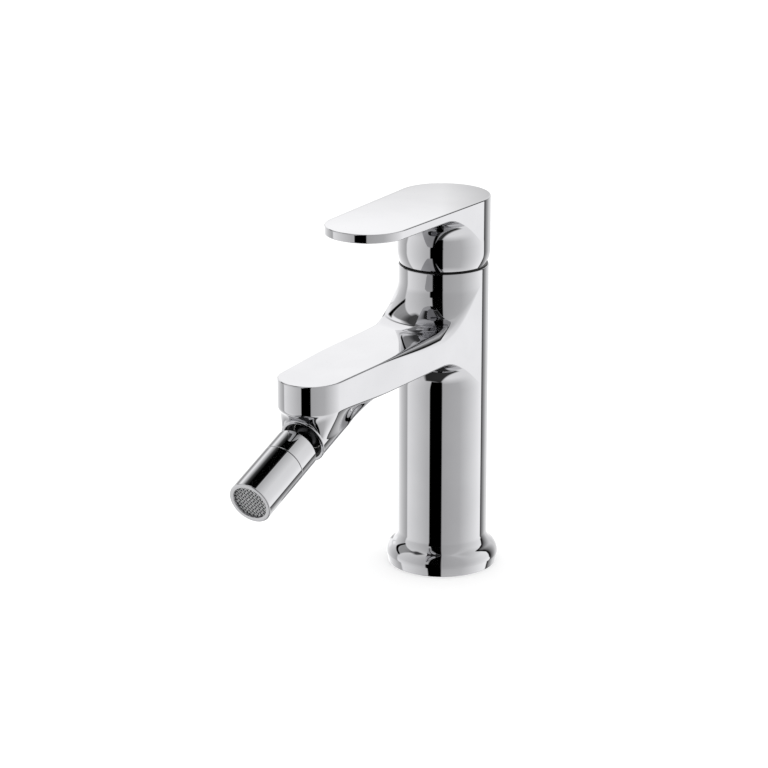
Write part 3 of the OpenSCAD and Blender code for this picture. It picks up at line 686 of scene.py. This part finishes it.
# %% [markdown]
# ## The handle
#
# The handle is a hollow cap with a flat lever growing forward out of it. One plane, rising by 0.7
# degrees, covers cap and lever. The lever's underside meets the cap in a hollow as the spout does, so
# the same stations serve. The cap's lowest part draws in, and its back is cut away on a slant to leave
# room for lifting.

# %% Lever edges
cap_radius = 23.2
rise = math.tan(math.radians(0.7))
lever = {"root": cap_radius, "tip": 20.6, "reach": 71.5}
lever_stations = {"hug": 33, "run": np.linspace(0, 1, 21)[1:], "nose": 41}
keel_face = {"hollow": 18.0, "level": -187.3, "climb": -rise}
keel = arm_edge(**lever, **keel_face, **lever_stations, tip_ball=0.5, hollow_ball=0.5, change=(0.0, 1.0))
keel_hollow = hollow_sheet(cap_radius, **keel_face, edge=keel, columns=hollow_columns)
keel_flat = flat_sheet(keel_hollow[-1], keel["touch_face"][lever_stations["hug"] - 1:], keel_face["level"],
                       keel_face["climb"])
cap_front = np.linspace(0, 1, hollow_columns)*keel["bearing"][0]
cap_back = np.linspace(keel["bearing"][0], math.pi, 64)
cap_turn = np.concatenate([cap_front, cap_back[1:]])
print("lever's front:", keel["touch_wall"][-1].round(2))

# %% Lid
lid_ball = 0.6
lid_level = 191.7
back_count = len(cap_back) - 1
behind = cap_back[:0:-1]
lid_wall = np.concatenate([np.column_stack([np.sin(behind), np.cos(behind), np.zeros(back_count)]),
                           keel["wall"]])
lid_border = np.concatenate([cap_radius*lid_wall[:back_count, :2], keel["touch_wall"][:, :2]])
lid_plan = lid_border - lid_ball*lid_wall[:, :2]
lid_height = lid_level + rise*lid_plan[:, 1] - lid_ball*math.sqrt(1 + rise**2)
lid_middle = np.column_stack([lid_plan, lid_height])
lid_face = np.tile(np.array([0, -rise, 1])/math.sqrt(1 + rise**2), (len(lid_middle), 1))
lid_touch = lid_middle + lid_ball*lid_face
lid_axis = lid_touch*np.array([0, 1, 1])
lid_edge = lid_middle + lid_ball*lid_wall
print("lid's top:", lid_touch[:, 2].max().round(2))

# %% Cap
relief = math.tan(math.radians(22))
cap_bottom = 157.8
draw_in_from = 165.0
draw_in_radius = 21.0
bore_radius = 20.0
bore_ceiling = 184.5


def cap_outline(height):
    """The cap's radius at a height: straight, and drawn in on an arc over its lowest part."""
    drop = np.maximum(draw_in_from - height, 0)
    arc = cap_radius - draw_in_radius + np.sqrt(draw_in_radius**2 - drop**2)
    return np.where(height < draw_in_from, arc, cap_radius)


def cap_foot(bearing):
    """Height of the cap's lower edge: level in front, on the relief's slanting plane behind the axis.
    Height and radius depend on each other, so they are settled by repeating."""
    height = np.full_like(bearing, cap_bottom)
    for _ in range(30):
        height = cap_bottom + cap_outline(height)*np.maximum(-np.cos(bearing), 0)*relief
    return height


cap_rows = -keel_hollow[0, :, 2]
front_levels = levels(cap_foot(cap_front), cap_rows, 30)
side_rows = np.full(len(cap_back), cap_rows[-1])
back_low = levels(cap_foot(cap_back), side_rows, 30)
back_high = levels(side_rows, lid_edge[back_count::-1, 2], 10)
back_levels = np.concatenate([back_low, back_high[1:]])
foot_outer = column_point(cap_turn, cap_outline(cap_foot(cap_turn)), cap_foot(cap_turn))
bore_foot = cap_bottom + bore_radius*np.maximum(-np.cos(cap_turn), 0)*relief
foot_inner = column_point(cap_turn, bore_radius, bore_foot)
bore_top = column_point(cap_turn, bore_radius, bore_ceiling)
cap_inside = np.array([(bore_radius, bore_ceiling), (8.5, bore_ceiling), (8.5, 168.5), (5, 168.5), (5, 182),
                       (0, 182)])
handle_sheets = both_sides([
    upright(ruled(lid_axis, lid_touch, 12), 1),
    upright(round_strip(lid_middle, lid_face, lid_wall, lid_ball), 1),
    ruled(upright(keel["touch_wall"], -1), upright(lid_edge[back_count:], 1), 10),
    upright(round_strip(keel["middle"], keel["face"], keel["wall"], keel["balls"]), -1),
    upright(keel_hollow, -1), upright(keel_flat, -1),
    column_point(cap_front, cap_outline(front_levels), front_levels),
    column_point(cap_back, cap_outline(back_levels), back_levels),
    ruled(foot_outer, foot_inner, 3), ruled(foot_inner, bore_top, 4),
    column_point(cap_turn, cap_inside[:, :1], cap_inside[:, 1:])])
sew("handle_skin", handle_sheets, chrome, "lever", ["handle"])

# %% [markdown]
# ## Cover ring and plug
#
# The ring in the gap hides the cartridge's nut: a flange on the column with a dome that the handle
# swings over. The dome is bright chrome, and the flange is painted dark as the shade in the gap, which
# is a black line in the photograph. One finish has both: the distance from the column's axis decides. At
# the back of the cap a small domed plug closes the grub screw's hole; its face follows the cap's round.

# %% Cover ring
dome_hub = 150.1
dome_outer = 18.0
dome_inner = 17.3
dome_mouth = 11.1
ring_bottom = 156.6
ring_top = 157.3


def dome_arc(radius, first, last):
    """Points (radius*cos(turn), dome_hub + radius*sin(turn)) between two turns."""
    turn = np.linspace(first, last, 30)
    return np.column_stack([radius*np.cos(turn), dome_hub + radius*np.sin(turn)])


outside = dome_arc(dome_outer, math.asin((ring_top - dome_hub)/dome_outer),
                   math.acos(dome_mouth/dome_outer))
inside = dome_arc(dome_inner, math.acos(dome_mouth/dome_inner),
                  math.asin((ring_bottom - dome_hub)/dome_inner))
cover = np.vstack([[(21.7, ring_bottom), (22.0, 156.75), (22.0, 157.1), (21.8, ring_top)],
                   outside, inside, [(21.7, ring_bottom)]])
ring_chrome_painted_shade, shader, place_on = new_finish("ring_chrome_painted_shade")
level_place = place_on.node("ShaderNodeVectorMath", {"operation": "MULTIPLY"}, {0: place_on, 1: (1, 1, 0)})
from_axis = place_on.node("ShaderNodeVectorMath", {"operation": "LENGTH"}, {0: level_place}, "Value")
# painted shade: beyond 18 mm from the axis the flange is dark and rough, for the shade in the gap
clear_of_painted_shade = over(from_axis, 0.0178, 0.0182, 1.0, 0.0)
clouds = cloudy(place_on, 45.0)
tone = (0.02 + 0.53*clear_of_painted_shade)*(0.95 + 0.1*clouds)
grey = tone.node("ShaderNodeCombineColor", {}, {name: tone for name in ("Red", "Green", "Blue")})
feed(shader, Base_Color=grey, Metallic=1.0, Roughness=0.38 - 0.36*clear_of_painted_shade + 0.03*clouds)
sew("cover_ring", [(turned(cover, fine_turn), True)], ring_chrome_painted_shade, "base", ["dome_ring"])

# %% Back plug
plug_height = 175.5
plug_dome = np.linspace(0, 2.8, 8)
plug = np.vstack([np.column_stack([plug_dome, 0.3 - 0.02*plug_dome**2]),
                  [(3.0, 0.08), (3.12, -0.02), (3.17, -0.2), (3.17, -2.6), (0, -2.6)]])
plug_turns = full_turn(64)
plug_side = plug[:, :1]*np.cos(plug_turns)
plug_grid = np.stack([plug_side, np.sqrt(cap_radius**2 - plug_side**2) + plug[:, 1:],
                      plug_height + plug[:, :1]*np.sin(plug_turns)], axis=-1)
sew("back_plug", [(plug_grid, True)], chrome, "lever", ["index_plug"])

# %% [markdown]
# ## Finishes of the hidden pieces
#
# Cartridge, seals and seats mostly stay out of sight, yet they show in the mouth, in the nozzle's end
# and when the part is taken apart. Their CAD solids stay, and each gets the finish of its stuff: turned
# brass, steel, black rubber, dark and white plastic, lapped ceramic. Only the aerator's white insert is
# painted dark instead: painted shade inside the nozzle.

# %% Hidden finishes
brass = grained("turned_brass", (0.62, 0.47, 0.20), (0.74, 0.58, 0.28), 600, 0.24, 0.12, 1.0)
rubber = grained("black_rubber", (0.016, 0.016, 0.017), (0.028, 0.028, 0.030), 900, 0.6, 0.2)
dark_plastic = grained("dark_plastic", (0.02, 0.02, 0.022), (0.035, 0.035, 0.038), 1200, 0.38, 0.16)
white_plastic = grained("white_plastic", (0.70, 0.70, 0.68), (0.78, 0.78, 0.76), 700, 0.3, 0.12)
ceramic = grained("lapped_ceramic", (0.80, 0.79, 0.74), (0.86, 0.85, 0.81), 500, 0.14, 0.08)
hidden = {
    "cartridge_nut": brass,
    "pivot_pin spindle grub_screw": steel,
    "base_gasket base_seals rear_ball_seat collar_seal aerator_washer": rubber,
    # the aerator's insert is white plastic; the dark plastic on it is painted shade inside the nozzle
    "cartridge_base limit_ring ball_retainer disc_carrier aerator_insert": dark_plastic,
    "cartridge_housing swivel_carrier front_ball_seat": white_plastic,
    "fixed_disc moving_disc": ceramic,
}
for names, finish in hidden.items():
    for name in names.split():
        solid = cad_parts[name]
        solid.data.materials.clear()
        solid.data.materials.append(finish)
print("finished solids:", sum(len(names.split()) for names in hidden))

# %% [markdown]
# ## Floor, light and background
#
# The photograph shows the mixer on white. Chrome has no colour of its own, only what it mirrors, so the
# studio around it matters as much as the metal: a pale tent with a dark gap to one side, which draws
# the black band down the column. The world answers each kind of ray: a camera ray sees white, a
# mirrored ray sees the tent, and any other ray sees an even light. A mirrored ray is told by two
# angles: its bearing, 0 straight ahead of the mixer and growing towards +X, and its height above the
# horizon, both in degrees.

# %% Studio
scene = bpy.context.scene
scene.view_settings.view_transform = "Standard"
world = bpy.data.worlds.new("studio")
scene.world = world
world.use_nodes = True
tree = world.node_tree
tree.nodes.clear()
output = tree.nodes.new("ShaderNodeOutputWorld")
direction = tree.nodes.new("ShaderNodeTexCoord").outputs["Generated"]
axes = tree.nodes.new("ShaderNodeSeparateXYZ")
tree.links.new(direction, axes.inputs[0])
toward_x, toward_y, toward_z = (Link(tree, axes.outputs[i]) for i in range(3))
toward_front = -1.0*toward_y
bearing = toward_x.maths("ARCTAN2", toward_x, toward_front)*(180/math.pi)
height = toward_z.maths("ARCSINE", toward_z, 0.0)*(180/math.pi)


def band(value, first, last, soft):
    """1 between first and last, easing over soft on both sides."""
    return over(value, first - soft, first + soft) - over(value, last - soft, last + soft)


def choose(mask, without, within):
    """One value where the mask is 0 and the other where it is 1."""
    return without + mask*(within - without)


print("world:", world.name)

# %% [markdown]
# ## The tent's walls
#
# Each wall has a shade that drifts along its bearing, as cloth lit from one end does. The walls are
# hung one after the other: each `choose` puts the next one over those before it.

# %% Walls and table
left_wall = over(bearing, -135, -75, 0.86, 0.37) - over(bearing, -180, -135, 0.3, 0.0)
front_wall = over(bearing, -68, -10, 0.74, 0.46)*over(height, -12, 0, 1.0, 0.86)
right_wall = over(bearing, 30, 75, 0.37, 0.44) + over(bearing, 75, 140, 0.0, 0.42)
right_roof = over(bearing, 80, 110)*over(height, 30, 62)
right_wall = choose(right_roof, right_wall*over(height, -12, 0, 1.0, 0.94), 0.45)
back_wall = over(bearing, 148.5, 154, 0.01, 0.14) + over(bearing, 154, 178, 0.0, 0.46)
table = over(bearing, -70, 50, 0.45, 0.72)
walls = choose(over(bearing, -75, -71), left_wall, front_wall)
walls = choose(over(bearing, 13, 15), walls, right_wall)
walls = choose(over(bearing + over(height, -14, -6, 0, 5), 147, 148.5), walls, back_wall)
walls = choose(over(height, -60, -40, 1.0, 0.0), walls, table)
print("nodes of the studio:", len(tree.nodes))

# %% [markdown]
# ## Panel and drapes
#
# A bright panel behind the mixer shows in the lid and in the spout's top, and its shade falls off where
# the back of the lid mirrors it. The nozzle mirrors only a narrow cone of directions round its own
# axis, so the panel has its own fall of light along that cone. Dark drapes hang on the left and under
# the roof.

# %% Panel and drapes
panel_light = 0.86
key_panel = over(bearing, -158, -148)*over(bearing, -114, -108, 1.0, 0.0)*band(height, -4, 52, 4)
lid_fall = over(height, 12.8, 13.7, 0.72, 1.0)*over(bearing, -150.7, -149.8, 0.6, 1.0)
walls = choose(key_panel, walls, panel_light*choose(band(height, 10, 15.5, 1), 1.0, lid_fall))
nozzle_cone = band(0.935*toward_y + 0.353*toward_z, 0.595, 0.645, 0.01)
nozzle_fall = over(height, -10, 10, 0.65, 0.24) + over(height, 10, 25, 0.0, 0.74)
nozzle_fall = nozzle_fall - over(height, 28, 50, 0.0, 0.9)
walls = choose(band(bearing, -142, -110, 3)*nozzle_cone, walls, panel_light*nozzle_fall)
slanting = height + 0.42*bearing
left_drape = band(bearing, -109, -71.5, 2)*over(slanting, -11, -7)*over(height, 60, 66, 1.0, 0.0)
walls = choose(left_drape, walls, over(height, 40, 60, 0.29, 0.15))
roof_drape = band(bearing, -142, -50, 6)*band(height, 52, 68, 4)
walls = choose(roof_drape, walls, 0.05)
print("nodes of the studio:", len(tree.nodes))

# %% [markdown]
# ## Dark gaps
#
# Between the walls the tent is open to a dark room. The front gap makes the black band on the column,
# the gap in the roof makes the one on the nozzle, and a gap in the table darkens the faces that look
# down. Gaps in the roof and the table have straight sides, so they are told by how far aside or ahead a
# ray is for each step up or down. Above 8 degrees the front gap is narrower, so that the lid stays
# light when it is seen from behind. Chrome returns a little over half of the light, and `tent_light`
# makes up for that.

# %% Dark gaps between the walls
least_step = 0.05
tent_light = 1.64
left_slot = band(bearing, -117, -71.5, 2)*band(slanting, -18, -10, 1.2)
front_left = bearing - over(height, 8, 10, 0.0, 5.8)
front_gap = over(front_left, -4.4, -2.0)*over(bearing, 27.8, 30.2, 1.0, 0.0)*over(height, -49, -46)
roof_side = toward_x/toward_z.maths("MAXIMUM", toward_z, least_step)
roof_gap = over(roof_side, -0.72, -0.36)*over(roof_side, 0.17, 0.21, 1.0, 0.0)*over(height, 50, 56)
roof_gap = roof_gap*over(toward_y, -0.02, 0.04)*nozzle_cone
down_step = toward_z.maths("MAXIMUM", -1.0*toward_z, least_step)
table_side = toward_x/down_step
table_ahead = toward_front/down_step
table_gap = over(table_side, -0.42, -0.3)*over(table_side - 0.2*table_ahead, 0.2, 0.27, 1.0, 0.0)
table_gap = table_gap*band(table_ahead, -0.27, 0.9, 0.05)
mirrored = tent_light*walls*(1 - left_slot)*(1 - front_gap)*(1 - 0.96*table_gap)*(1 - roof_gap)
print("nodes of the studio:", len(tree.nodes))

# %% Light by kind of ray
even_light = 0.9
path = tree.nodes.new("ShaderNodeLightPath")
seen = Link(tree, path.outputs["Is Camera Ray"])
glossy = Link(tree, path.outputs["Is Glossy Ray"])
clear = Link(tree, path.outputs["Is Transmission Ray"])
strength = seen + (glossy + clear)*mirrored + (1 - seen - glossy - clear)*even_light
studio_light = strength.node("ShaderNodeBackground", {}, {"Color": (1, 1, 1, 1), "Strength": strength})
tree.links.new(studio_light.socket, output.inputs["Surface"])
print("nodes of the studio:", len(tree.nodes))

# %% Floor
floor_half = 3.0
corners = np.array([(-1, -1, 0), (1, -1, 0), (1, 1, 0), (-1, 1, 0)])*floor_half
floor_mesh = bpy.data.meshes.new("floor")
floor_mesh.from_pydata(corners.tolist(), [], [(0, 1, 2, 3)])
floor = bpy.data.objects.new("floor", floor_mesh)
scene.collection.objects.link(floor)
floor.visible_glossy = False
paper, shader, _ = new_finish("white_paper")
feed(shader, Base_Color=(0.9, 0.9, 0.9, 1), Roughness=0.9, Emission_Color=(1, 1, 1, 1),
     Emission_Strength=0.35)
floor_mesh.materials.append(paper)
print("floor:", 2*floor_half, "m across")
